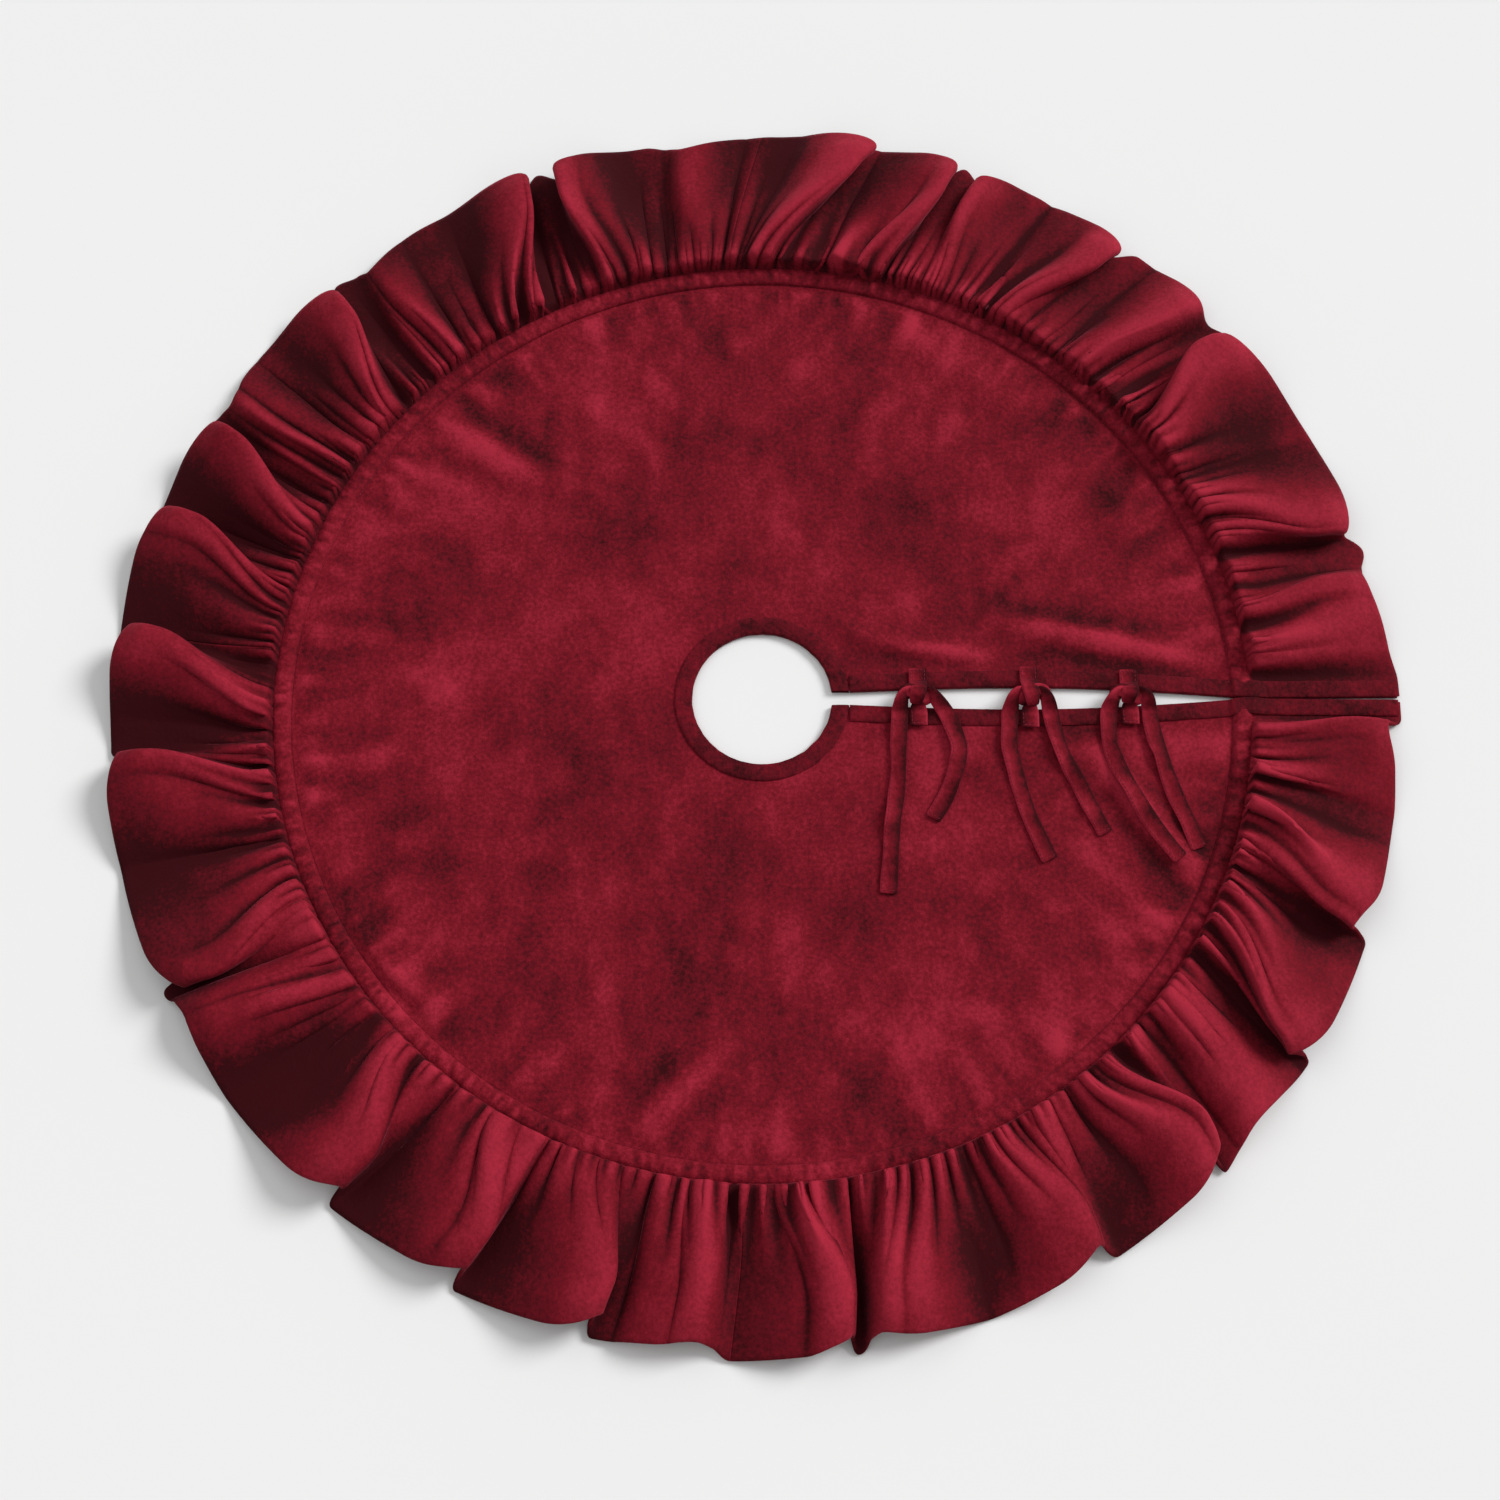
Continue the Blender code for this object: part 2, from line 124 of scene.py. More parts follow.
# Section of a tie's sewn tube: how square its sides and top are, the raised rim over its seam (height,
# place and width as shares of half the tube), and its thickness at a sewn end.
TUBE_SIDE_POWER = 0.55
TUBE_TOP_POWER = 0.85
SEAM_RIM = 0.25
SEAM_RIM_PLACE = 0.72
SEAM_RIM_WIDTH = 0.12
TUBE_END_SHARE = 0.80

# How a loose tail lies: length between bends, wander aside, twist in degrees, and lift off the panel.
TAIL_BEND_LENGTH = 0.013
TAIL_WANDER = 0.0030
TAIL_TWIST = 46.0
TAIL_LOOSE_LIFT = 0.0012
TAIL_STITCHED_FROM = -0.020
TAIL_END_STITCH_INSET = 0.0030

# Each tail, first pair to third: side of its knot, length down the flap, lean towards the hem as a
# share of the clear panel beside it, and how far its middle bows away from the knot.
TAILS = (
    ("left", 0.196, -0.057, 0.002),
    ("right", 0.122, -0.025, 0.020),
    ("left", 0.163, 0.187, 0.006),
    ("right", 0.137, 0.349, 0.006),
    ("left", 0.163, 0.800, 0.008),
    ("right", 0.152, 1.000, 0.004),
)

# The ruffle's big folds, around from the far side of the slit: angle of the crest at the hem, turn
# of the crest from seam to hem (degrees), height, lean over its neighbour as a share of its width,
# and how far the hem reaches out there.
FOLDS = (
    (8.5, -1.0, 0.021, 0.30, 0.000), (20.5, -2.0, 0.031, -0.62, 0.002),
    (33.5, -3.0, 0.035, 0.85, 0.004), (45.5, -2.0, 0.030, -0.35, 0.006),
    (57.0, -2.6, 0.036, -0.80, 0.004), (66.0, -2.0, 0.024, 0.45, 0.003),
    (74.0, -2.5, 0.036, -0.70, 0.007), (84.0, -6.5, 0.039, -0.95, 0.008),
    (95.5, -2.0, 0.013, 0.25, -0.002), (106.5, -1.2, 0.035, 0.60, 0.005),
    (117.0, -4.0, 0.038, -0.65, 0.008), (128.5, -2.0, 0.012, 0.30, -0.002),
    (139.0, -1.5, 0.034, -0.80, 0.004), (148.0, -2.0, 0.015, 0.20, -0.001),
    (157.0, -2.0, 0.035, -0.90, 0.004), (167.5, -1.0, 0.036, -0.95, 0.007),
    (179.5, -2.0, 0.038, -0.90, 0.008), (190.5, -1.5, 0.033, -0.60, 0.007),
    (203.0, -2.0, 0.036, 0.90, 0.006), (213.0, -2.5, 0.031, -0.20, 0.002),
    (225.0, -2.0, 0.037, 0.90, 0.006), (238.5, -2.5, 0.033, 0.80, 0.003),
    (250.0, -2.0, 0.036, 0.95, 0.006), (262.0, -1.0, 0.026, 0.30, 0.001),
    (273.0, -1.5, 0.031, 0.70, 0.005), (283.0, -2.5, 0.034, -0.40, 0.004),
    (295.0, -2.0, 0.029, 0.60, 0.002), (307.0, -3.0, 0.036, 0.90, 0.006),
    (318.5, -2.5, 0.028, -0.10, 0.000), (330.0, -4.0, 0.037, -0.90, 0.006),
    (343.0, -1.5, 0.033, -0.75, 0.005), (353.8, -1.0, 0.019, 0.35, 0.000),
)
RUFFLE_PIECES = 4
FOLDS_PER_PIECE = len(FOLDS) // RUFFLE_PIECES
RUFFLE_COLUMNS = 600
RUFFLE_ROWS = 46
HEM_REACH = 0.012
HEM_THICKNESS_SHARE = 0.40
HEADING_SHARE = 0.045
ROWS_TOWARDS_HEM = 1.15
# A fold's section is a sine to this power: folds on the far side stand narrower than on the near one.
BROAD_FOLD_POWER = 1.6
NARROWER_BY = 2.6
# Folds rise quickly from the seam, reach their full lean at this share of the depth, droop at the
# hem by this share, tuck back below a lean, and lie flat beside the slit's bindings.
FOLD_RISE_POWER = 2.6
FULL_LEAN_DEPTH = 0.75
HEM_DROOP = 0.22
HEM_TUCK = 0.020
RUFFLE_EASE_AT_SLIT = 0.024
GATHER_SWING = 0.55

# How far the panel's cloth lifts: in broad swells, small waves, and puckers and tucks along the seam,
# and how far from each sewn edge it takes to lift.
SWELL_RISE = 0.0024
WAVE_RISE = 0.0026
PUCKER_RISE = 0.0064
TUCK_RISE = 0.0036
EASE_AT_HOLE = 0.030
EASE_AT_SEAM = 0.012
EASE_AT_SLIT = 0.025
PUCKER_REACH = 0.040

# Low soft ridges left in the panel's cloth: from and to (x, y), height and half width.
PANEL_RIDGES = (
    (0.060, 0.072, 0.235, 0.030, 0.0060, 0.012),
    (0.210, 0.084, 0.425, 0.034, 0.0070, 0.014),
    (0.300, -0.036, 0.415, -0.190, 0.0060, 0.014),
    (-0.290, -0.310, -0.430, -0.215, 0.0070, 0.014),
    (0.300, -0.340, 0.420, -0.215, 0.0070, 0.015),
    (-0.330, 0.300, -0.205, 0.220, 0.0055, 0.018),
    (0.130, 0.400, 0.260, 0.300, 0.0050, 0.018),
    (-0.120, -0.430, -0.020, -0.330, 0.0050, 0.018),
)

# Gathers sewn into the seam: how many to a fold, height, and the share of the depth where they fade.
GATHERS = ((2.3, 0.0165, 1.75), (5.3, 0.0110, 0.90), (12.3, 0.0054, 0.32))

BURGUNDY_DARK = (0.034, 0.0003, 0.0022)
BURGUNDY = (0.168, 0.0040, 0.0125)
BURGUNDY_BRIGHT = (0.340, 0.0160, 0.0360)
LINING_DARK = (0.085, 0.004, 0.009)
LINING_LIGHT = (0.165, 0.013, 0.024)
THREAD_DARK = (0.135, 0.004, 0.013)
THREAD_LIGHT = (0.330, 0.030, 0.055)
FLOOR_DARK = (0.81, 0.81, 0.81)
FLOOR_LIGHT = (0.83, 0.83, 0.83)
# How fine each pattern is, in features to the metre or so.
MOTTLE_SCALE = 260.0
PILE_SCALE = 1500.0
WEAVE_SCALE = 420.0
TWIST_SCALE = 900.0
CLOTH_SPECULAR = 0.12
# Weight, roughness and tint of the velvet's sheen.
VELVET_SHEEN = (0.22, 0.35, (1.0, 0.16, 0.24))

CAMERA_LENS = 63.1
CAMERA_AIM = (-0.0115, -0.0510, 0.0)
CAMERA_DISTANCE = 2.5
CAMERA_HEIGHT_ANGLE = 70.0
FLOOR_SIZE = 60.0
# Each light: the way it shines, its strength and its softness in degrees.
LIGHTS = {
    "window_light": ((-1.0, -0.55, -0.80), 2.55, 24.0),
    "ceiling_light": ((0.35, -0.30, -1.0), 0.60, 70.0),
}
SURROUND_STRENGTH = 0.42


def smooth_step(value):
    value = min(1.0, max(0.0, value))
    return value * value * (3.0 - 2.0 * value)


def ripple(x, y, z=0.0):
    """A soft uneven value from -1 to 1 that varies over about one unit."""
    return noise.noise(Vector((x, y, z)))


def slit_edge(x):
    """Distance from the slit's centre line to its bound edge."""
    middle = HOLE_RADIUS + WIDEST_SHARE * (SEAM_RADIUS - HOLE_RADIUS)
    if x <= middle:
        opening = math.sin(math.pi / 2 * max(0.0, (x - HOLE_RADIUS) / (middle - HOLE_RADIUS)))
        return (GAP_AT_HOLE + (GAP_IN_MIDDLE - GAP_AT_HOLE) * opening) / 2
    if x <= SEAM_RADIUS:
        opening = math.cos(math.pi / 2 * (x - middle) / (SEAM_RADIUS - middle))
        return (GAP_AT_SEAM + (GAP_IN_MIDDLE - GAP_AT_SEAM) * opening) / 2
    spread = (x - SEAM_RADIUS) / (OVERALL_RADIUS - SEAM_RADIUS)
    return (GAP_AT_SEAM + (GAP_AT_HEM - GAP_AT_SEAM) * spread) / 2


def slit_angle(radius, inset=0.0):
    """Half the slit's angle at a radius, measured to a line this far beyond its bound edge."""
    return math.asin((slit_edge(radius) + inset) / radius)


class Wire:
    """A shader socket. Sums with it add Math nodes, and node() adds any other node."""

    def __init__(self, tree, socket=None):
        self.tree = tree
        self.socket = socket

    def node(self, kind, settings=None, values=None, out=0):
        made = self.tree.nodes.new(kind)
        for key, value in (settings or {}).items():
            if key == "stops":
                ramp = made.color_ramp.elements
                while len(ramp) < len(value):
                    ramp.new(0.5)
                for element, (place, colour) in zip(ramp, value):
                    element.position = place
                    element.color = (*colour, 1.0)
            else:
                setattr(made, key, value)
        for key, value in (values or {}).items():
            if isinstance(value, Wire):
                self.tree.links.new(value.socket, made.inputs[key])
            else:
                made.inputs[key].default_value = value
        return Wire(self.tree, made.outputs[out]) if made.outputs else made

    def sum(self, operation, first, second):
        return self.node("ShaderNodeMath", {"operation": operation}, {0: first, 1: second})

    def __add__(self, other):
        return self.sum("ADD", self, other)

    def __sub__(self, other):
        return self.sum("SUBTRACT", self, other)

    def __rsub__(self, other):
        return self.sum("SUBTRACT", other, self)

    def __mul__(self, other):
        return self.sum("MULTIPLY", self, other)

    __radd__ = __add__
    __rmul__ = __mul__


def new_finish(name):
    """An empty material, with the wire that starts its nodes and the coordinates of the piece."""
    material = bpy.data.materials.new(name)
    material.use_nodes = True
    tree = material.node_tree
    tree.nodes.clear()
    start = Wire(tree)
    return material, start, start.node("ShaderNodeTexCoord", out="Object")


def grain(start, place, scale, detail=2.0, roughness=0.5, stretch=None):
    """Noise over the cloth, of about one feature to 1 / scale metres."""
    if stretch:
        place = start.node(
            "ShaderNodeMapping", {"vector_type": "POINT"}, {"Vector": place, "Scale": stretch})
    return start.node("ShaderNodeTexNoise", None,
                      {"Vector": place, "Scale": scale, "Detail": detail, "Roughness": roughness})


def mixed(start, share, first, second):
    """Colour that goes from the first to the second as share goes from 0 to 1."""
    colours = {}
    for key, colour in ((6, first), (7, second)):
        colours[key] = colour if isinstance(colour, Wire) else (*colour, 1.0)
    return start.node("ShaderNodeMix", {"data_type": "RGBA"}, {0: share, **colours}, out=2)


def finished(start, colour, roughness, bump, strength, distance, sheen=None):
    """The shader and output of a cloth."""
    normal = start.node(
        "ShaderNodeBump", None, {"Height": bump, "Strength": strength, "Distance": distance})
    values = {"Base Color": colour, "Roughness": roughness, "Normal": normal,
              "Specular IOR Level": CLOTH_SPECULAR}
    if sheen:
        weight, spread, tint = sheen
        values.update({"Sheen Weight": weight, "Sheen Roughness": spread, "Sheen Tint": (*tint, 1.0)})
    shader = start.node("ShaderNodeBsdfPrincipled", None, values)
    start.node("ShaderNodeOutputMaterial", None, {"Surface": shader})


def velvet_finish(name, contrast, patch_scale, tone_shift=0.0, painted_tone_share=0.42):
    """Short pile, brushed this way and that: soft light and dark patches over a fine mottle.
    The colour is also darkened in hollows as painted shade and lightened on crests as painted highlights."""
    material, start, place = new_finish(name)
    # Painted shade and light kept on the cloth's points: darker in hollows, lighter on crests and on one
    # side.
    painted_tone = start.node("ShaderNodeAttribute", {"attribute_name": "pile_lie"}, out=2)
    patches = grain(start, place, patch_scale, 2.0, 0.50)
    nap_and_painted_light = grain(start, place, patch_scale * 5, 5.0, 0.62, (1.5, 0.8, 1.0))
    mottle = grain(start, place, MOTTLE_SCALE, 3.0, 0.6)
    pile = grain(start, place, PILE_SCALE, 2.0, 0.6)
    tone = 0.5 + tone_shift + contrast * (
        (patches - 0.5) * 1.5 + (nap_and_painted_light - 0.5) * 0.6 + (mottle - 0.5) * 1.1)
    tone = tone + (pile - 0.5) * 0.45 + painted_tone * painted_tone_share
    colour = start.node("ShaderNodeValToRGB", {"stops": (
        (0.10, BURGUNDY_DARK), (0.52, BURGUNDY), (0.95, BURGUNDY_BRIGHT))}, {"Fac": tone})
    roughness = 0.78 + 0.14 * mottle
    height = pile * 0.5 + mottle * 1.4 + nap_and_painted_light * 3.0
    finished(start, colour, roughness, height, 0.55, 0.0007, VELVET_SHEEN)
    return material


def lining_finish(name):
    """Plain weave: threads over and under, with a slight slub."""
    material, start, place = new_finish(name)
    across, along = (
        start.node("ShaderNodeTexWave", {"bands_direction": way}, {"Vector": place, "Scale": WEAVE_SCALE})
        for way in "XY")
    weave = across * along
    slub = grain(start, place, 40.0, 3.0, 0.6, (1.0, 9.0, 1.0))
    colour = mixed(start, weave * 0.5 + slub * 0.5, LINING_DARK, LINING_LIGHT)
    finished(start, colour, 0.62 + 0.12 * slub, weave, 0.4, 0.0003)
    return material


def thread_finish(name):
    """Twisted sewing thread."""
    material, start, place = new_finish(name)
    twist = start.node(
        "ShaderNodeTexWave", {"bands_direction": "DIAGONAL"}, {"Vector": place, "Scale": TWIST_SCALE})
    fuzz = grain(start, place, 700.0)
    colour = mixed(start, twist * 0.6 + fuzz * 0.4, THREAD_DARK, THREAD_LIGHT)
    finished(start, colour, 0.50 + 0.15 * fuzz, twist, 0.5, 0.0002)
    return material


def floor_finish():
    """A matt pale floor with a barely uneven tone."""
    material, start, place = new_finish("pale_floor")
    uneven = grain(start, place, 1.5, 2.0)
    colour = mixed(start, uneven, FLOOR_DARK, FLOOR_LIGHT)
    finished(start, colour, 0.85 + 0.05 * uneven, grain(start, place, 300.0), 0.05, 0.0005)
    return material


# Where a piece carries painted shade and light, its velvet darkens hollows and lightens crests; the ruffle
# and ties give their own strength of it, last.
VELVET = velvet_finish("burgundy_velvet", 0.75, 8.0)
RUFFLE_VELVET = velvet_finish("burgundy_velvet_ruffle", 0.50, 9.0, -0.14, 0.66)
BINDING_VELVET = velvet_finish("burgundy_velvet_binding", 0.55, 30.0, -0.20)
TIE_VELVET = velvet_finish("burgundy_velvet_ties", 0.45, 40.0, -0.03, 0.64)
LINING = lining_finish("burgundy_lining")
THREAD = thread_finish("burgundy_thread")


def piece_from(name, bm, material):
    """A finished mesh at the origin, smooth shaded, with its material."""
    bmesh.ops.recalc_face_normals(bm, faces=bm.faces)
    for face in bm.faces:
        face.smooth = True
    mesh = bpy.data.meshes.new(name)
    bm.to_mesh(mesh)
    bm.free()
    piece = bpy.data.objects.new(name, mesh)
    bpy.context.scene.collection.objects.link(piece)
    mesh.materials.append(material)
    return piece


def cloth_grid(columns, rows, point, shade_reaches=(), nap_and_painted_light=None):
    """A grid of cloth, each knot of it put where point(across, down) says, both from 0 to 1.
    Each given reach in columns and height paints shade into hollows and light onto crests, by how far a
    place stands below or above the mean of its neighbours within that reach. A tone function of (across,
    down) adds more painted light and shade."""
    bm = bmesh.new()
    bmesh.ops.create_grid(bm, x_segments=columns, y_segments=rows, size=0.5)
    levels = np.zeros((rows + 1, columns + 1))
    places = []
    for vert in bm.verts:
        across = vert.co.x + 0.5
        down = vert.co.y + 0.5
        vert.co = point(across, down)
        places.append((round(down * rows), round(across * columns)))
        levels[places[-1]] = vert.co.z
    # Painted shade in the hollows and painted light on the crests, kept on each point for the velvet's
    # colour.
    painted_tone = np.zeros_like(levels)
    for reach, height in shade_reaches:
        padded = np.pad(levels, ((0, 0), (reach, reach)), mode="edge")
        mean = sum(padded[:, step:step + columns + 1] for step in range(2 * reach + 1)) / (2 * reach + 1)
        painted_tone += np.clip((levels - mean) / height, -1.0, 1.0) / len(shade_reaches)
    layer = bm.verts.layers.float.new("pile_lie")
    for vert, (row, column) in zip(bm.verts, places):
        vert[layer] = painted_tone[row, column] + (nap_and_painted_light(column / columns, row / rows) if nap_and_painted_light else 0.0)
    return bm


def thicken(piece, thickness, offset=0.0, rounding=0.0):
    """Gives a sheet its cloth's thickness, and rounds its cut edges if asked."""
    solid = piece.modifiers.new("cloth thickness", "SOLIDIFY")
    solid.thickness = thickness
    solid.offset = offset
    solid.use_even_offset = False
    if rounding:
        soft = piece.modifiers.new("soft edge", "BEVEL")
        soft.width = rounding
        soft.segments = 2
        soft.limit_method = "ANGLE"
        soft.angle_limit = math.radians(60)
        soft.affect = "EDGES"
    return solid


# Panel, lining and seam.

def soft_ridge(x, y, ridge):
    """Height of a low soft ridge that runs from one point to another, fading at both ends."""
    x0, y0, x1, y1, height, half_width = ridge
    run = math.hypot(x1 - x0, y1 - y0)
    along = ((x - x0) * (x1 - x0) + (y - y0) * (y1 - y0)) / run
    aside = ((x - x0) * (y1 - y0) - (y - y0) * (x1 - x0)) / run
    if abs(aside) > 3 * half_width or not 0 < along < run:
        return 0.0
    return height * math.exp(-(aside / half_width) ** 2) * math.sin(math.pi * along / run) ** 0.8


def panel_rise(x, y):
    """How far the panel's cloth lifts off its flat place: low swells, and puckers along the seam."""
    radius = math.hypot(x, y)
    angle = math.atan2(y, x)
    ridges = sum(soft_ridge(x, y, ridge) for ridge in PANEL_RIDGES)
    swell = 0.5 + 0.5 * ripple(x * 9.0, y * 9.0, 0.3)
    wave = max(0.0, ripple(x * 24.0, y * 24.0, 4.0))
    near_seam = math.exp(-(TOPSTITCH_RADIUS - radius) / PUCKER_REACH)
    pucker = max(0.0, ripple(angle * 16.0, radius * 14.0, 9.0)) * near_seam
    tuck = max(0.0, ripple(angle * 42.0, radius * 22.0, 2.0)) * near_seam ** 1.6
    rise = SWELL_RISE * swell ** 2 + WAVE_RISE * wave + PUCKER_RISE * pucker + TUCK_RISE * tuck + ridges
    beside_hole = smooth_step((radius - HOLE_BINDING_OUTER - 0.002) / EASE_AT_HOLE)
    beside_seam = smooth_step((TOPSTITCH_RADIUS - 0.001 - radius) / EASE_AT_SEAM)
    beside_slit = 1.0
    if x > 0:
        beside_slit = smooth_step((abs(y) - slit_edge(x) - BINDING_WIDTH - 0.001) / EASE_AT_SLIT)
    return rise * beside_hole * beside_seam * beside_slit


def round_sheet(inner, outer, grid, level, lift, shade_reaches=()):
    """A ring of cloth with the slit left open, its height from level plus lift times the panel's rise."""
    def point(across, down):
        radius = inner + (outer - inner) * down
        start = slit_angle(max(radius, HOLE_RADIUS), PANEL_INSET)
        angle = start + (2 * math.pi - 2 * start) * across
        x = radius * math.cos(angle)
        y = radius * math.sin(angle)
        return (x, y, level + lift * panel_rise(x, y))
    return cloth_grid(*grid, point, shade_reaches)


def make_panel():
    """The face cloth with its ridge at the seam, and the lining below it."""
    inner = HOLE_RADIUS + PANEL_INSET
    # The panel's colour gets painted shade in its hollows and painted highlights on its swells.
    bm = round_sheet(inner, RIDGE_INNER + RIDGE_OVERLAP, PANEL_GRID, PANEL_LEVEL, 1.0, ((7, 0.0022),))
    panel = piece_from("panel", bm, VELVET)
    thicken(panel, PANEL_CLOTH)
    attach(panel, "skirt")
    ridge = make_ridge()
    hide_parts("velvet_panel")
    lining_bm = round_sheet(inner, SEAM_RADIUS, LINING_GRID, LINING_LEVEL, 0.6)
    lining = piece_from("lining_sheet", lining_bm, LINING)
    thicken(lining, LINING_CLOTH)
    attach(lining, "skirt")
    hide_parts("backing_panel")


def ridge_profile(down):
    """The seam's ridge in section, from the topstitching over its rounded top to its outer edge."""
    turn = math.pi * down
    middle = (RIDGE_INNER + RIDGE_OUTER) / 2
    half = (RIDGE_OUTER - RIDGE_INNER) / 2
    base = PANEL_LEVEL + (RIDGE_OUTER_LEVEL - PANEL_LEVEL) * down
    return middle - half * math.cos(turn), base + RIDGE_RISE * math.sin(turn) ** 0.75


def make_ridge():
    """The panel's edge over the gathered heading: a soft cord, puckered by its stitching."""
    def point(across, down):
        radius, level = ridge_profile(down)
        start = slit_angle(radius, BINDING_WIDTH - 0.004)
        angle = start + (2 * math.pi - 2 * start) * across
        top = math.sin(math.pi * down)
        wander = 0.0009 * ripple(angle * 18.0, 5.0)
        bunched = 0.0011 * ripple(angle * 46.0, down * 1.2, 7.0)
        bunched += 0.0006 * ripple(angle * 110.0, down * 2.0)
        radius += wander * (0.4 + 0.6 * down) + 0.4 * bunched * top
        return (radius * math.cos(angle), radius * math.sin(angle), level + bunched * top)
    # The ridge's colour gets painted shade in its dips and painted highlights where it bunches up.
    ridge = piece_from("seam_ridge", cloth_grid(*RIDGE_GRID, point, ((3, 0.0010),)), VELVET)
    thicken(ridge, PANEL_CLOTH, -1.0)
    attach(ridge, "skirt")
    return ridge


# Bindings.

def binding_section(across, top, width):
    """A folded strip in section, from its upper sewn edge round the fold to its lower edge: (in, up)."""
    leg = width / (2 * width + math.pi * top / 2)
    if across < leg:
        share = across / leg
        puff = BINDING_PUFF * math.sin(math.pi * share)
        tucked = BINDING_PUFF * (1 - smooth_step(share / 0.12))
        return width * (1 - share), top + puff - tucked
    if across > 1 - leg:
        share = (across - 1 + leg) / leg
        return width * share, BINDING_CLOTH / 2
    turn = math.pi * (across - leg) / (1 - 2 * leg)
    half = (top - BINDING_CLOTH / 2) / 2
    bulge = 0.35 * half * math.sin(turn)
    return BINDING_CLOTH / 2 - bulge, BINDING_CLOTH / 2 + half + half * math.cos(turn)


def make_hole_binding():
    """A folded strip around the trunk hole, its two ends at the slit."""
    def point(across, down):
        inward, up = binding_section(down, BINDING_TOP, BINDING_WIDTH)
        start = math.asin((slit_edge(HOLE_RADIUS) + 0.0007) / (HOLE_RADIUS + max(0.0, inward)))
        angle = start + (2 * math.pi - 2 * start) * across
        uneven = BINDING_UNEVEN * ripple(angle * 7.0, 3.0)
        dimple = BINDING_DIMPLE * ripple(angle * 30.0, inward * 200.0, 1.0)
        radius = HOLE_RADIUS + inward + uneven
        return (radius * math.cos(angle), radius * math.sin(angle), up + (dimple if up > 0.003 else 0.0))
    bm = cloth_grid(*HOLE_BINDING_GRID, point)
    binding = piece_from("hole_binding_cloth", bm, BINDING_VELVET)
    thicken(binding, BINDING_CLOTH, 0.0, BINDING_ROUNDING)
    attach(binding, "skirt")
    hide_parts("hole_binding")


def layers_rise(x):
    """How far the seam's ridge lifts the slit binding that crosses it."""
    up = smooth_step((x - RIDGE_INNER + 0.006) / 0.008)
    down = smooth_step((x - RIDGE_OUTER - 0.001) / 0.016)
    return LAYERS_RISE * up * (1 - down)


def make_slit_binding(name, side):
    """A folded strip along one edge of the slit: side is 1 on the far flap and -1 on the near one."""
    start = HOLE_BINDING_OUTER + 0.0004
    end = OVERALL_RADIUS - 0.0025

    def point(across, down):
        x = start + (end - start) * across
        edge = slit_edge(x)
        inward, up = binding_section(down, BINDING_TOP + layers_rise(x), BINDING_WIDTH)
        uneven = 0.0004 * ripple(x * 60.0, side * 5.0)
        dimple = BINDING_DIMPLE * ripple(x * 240.0, inward * 200.0, side)
        reach = edge + max(inward, -0.6 * edge) + uneven * (1.0 if inward > 0.004 else 0.0)
        return (x, side * reach, up + (dimple if up > 0.003 else 0.0))
    bm = cloth_grid(*SLIT_BINDING_GRID, point)
    binding = piece_from("slit_binding_{}_cloth".format(name), bm, BINDING_VELVET)
    thicken(binding, BINDING_CLOTH, 0.0, BINDING_ROUNDING)
    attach(binding, "skirt")
    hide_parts("slit_binding_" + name)


# Ruffle.

def fold_angles(index, depth):
    """Angles of a fold's near valley, its crest and its far valley, at a share of the ruffle's depth."""
    def crest(number):
        hem, turn = FOLDS[number][:2]
        return math.radians(hem - turn * (1 - depth))

    def valley(number):
        if number == 0:
            return 0.0
        if number == len(FOLDS):
            return 2 * math.pi
        return (crest(number - 1) + crest(number)) / 2
    return valley(index), crest(index), valley(index + 1)


def lobe(place):
    """A row of round lobes with narrow valleys, from 0 to 1."""
    return abs(math.sin(math.pi * place)) ** 0.75


def gathered(turn, depth, radius):
    """For each size of gathers, how far it lifts a point of the ruffle and turns it about the middle."""
    pressed = smooth_step(depth / 0.03)
    for count, size, fade in GATHERS:
        phase = turn * count + 1.3 * ripple(turn * 0.9, count)
        local = fade * (0.75 + 0.5 * ripple(turn * 1.7, count * 3.0))
        uneven = 0.75 + 0.6 * ripple(turn * 2.3, count * 7.0)
        strength = pressed * (1 - smooth_step(depth / local)) * uneven
        lean = 2 * ripple(turn, count * 5.0)
        swing = GATHER_SWING * size / radius * math.sin(2 * math.pi * phase) * strength * lean
        yield size * lobe(phase) * strength, swing


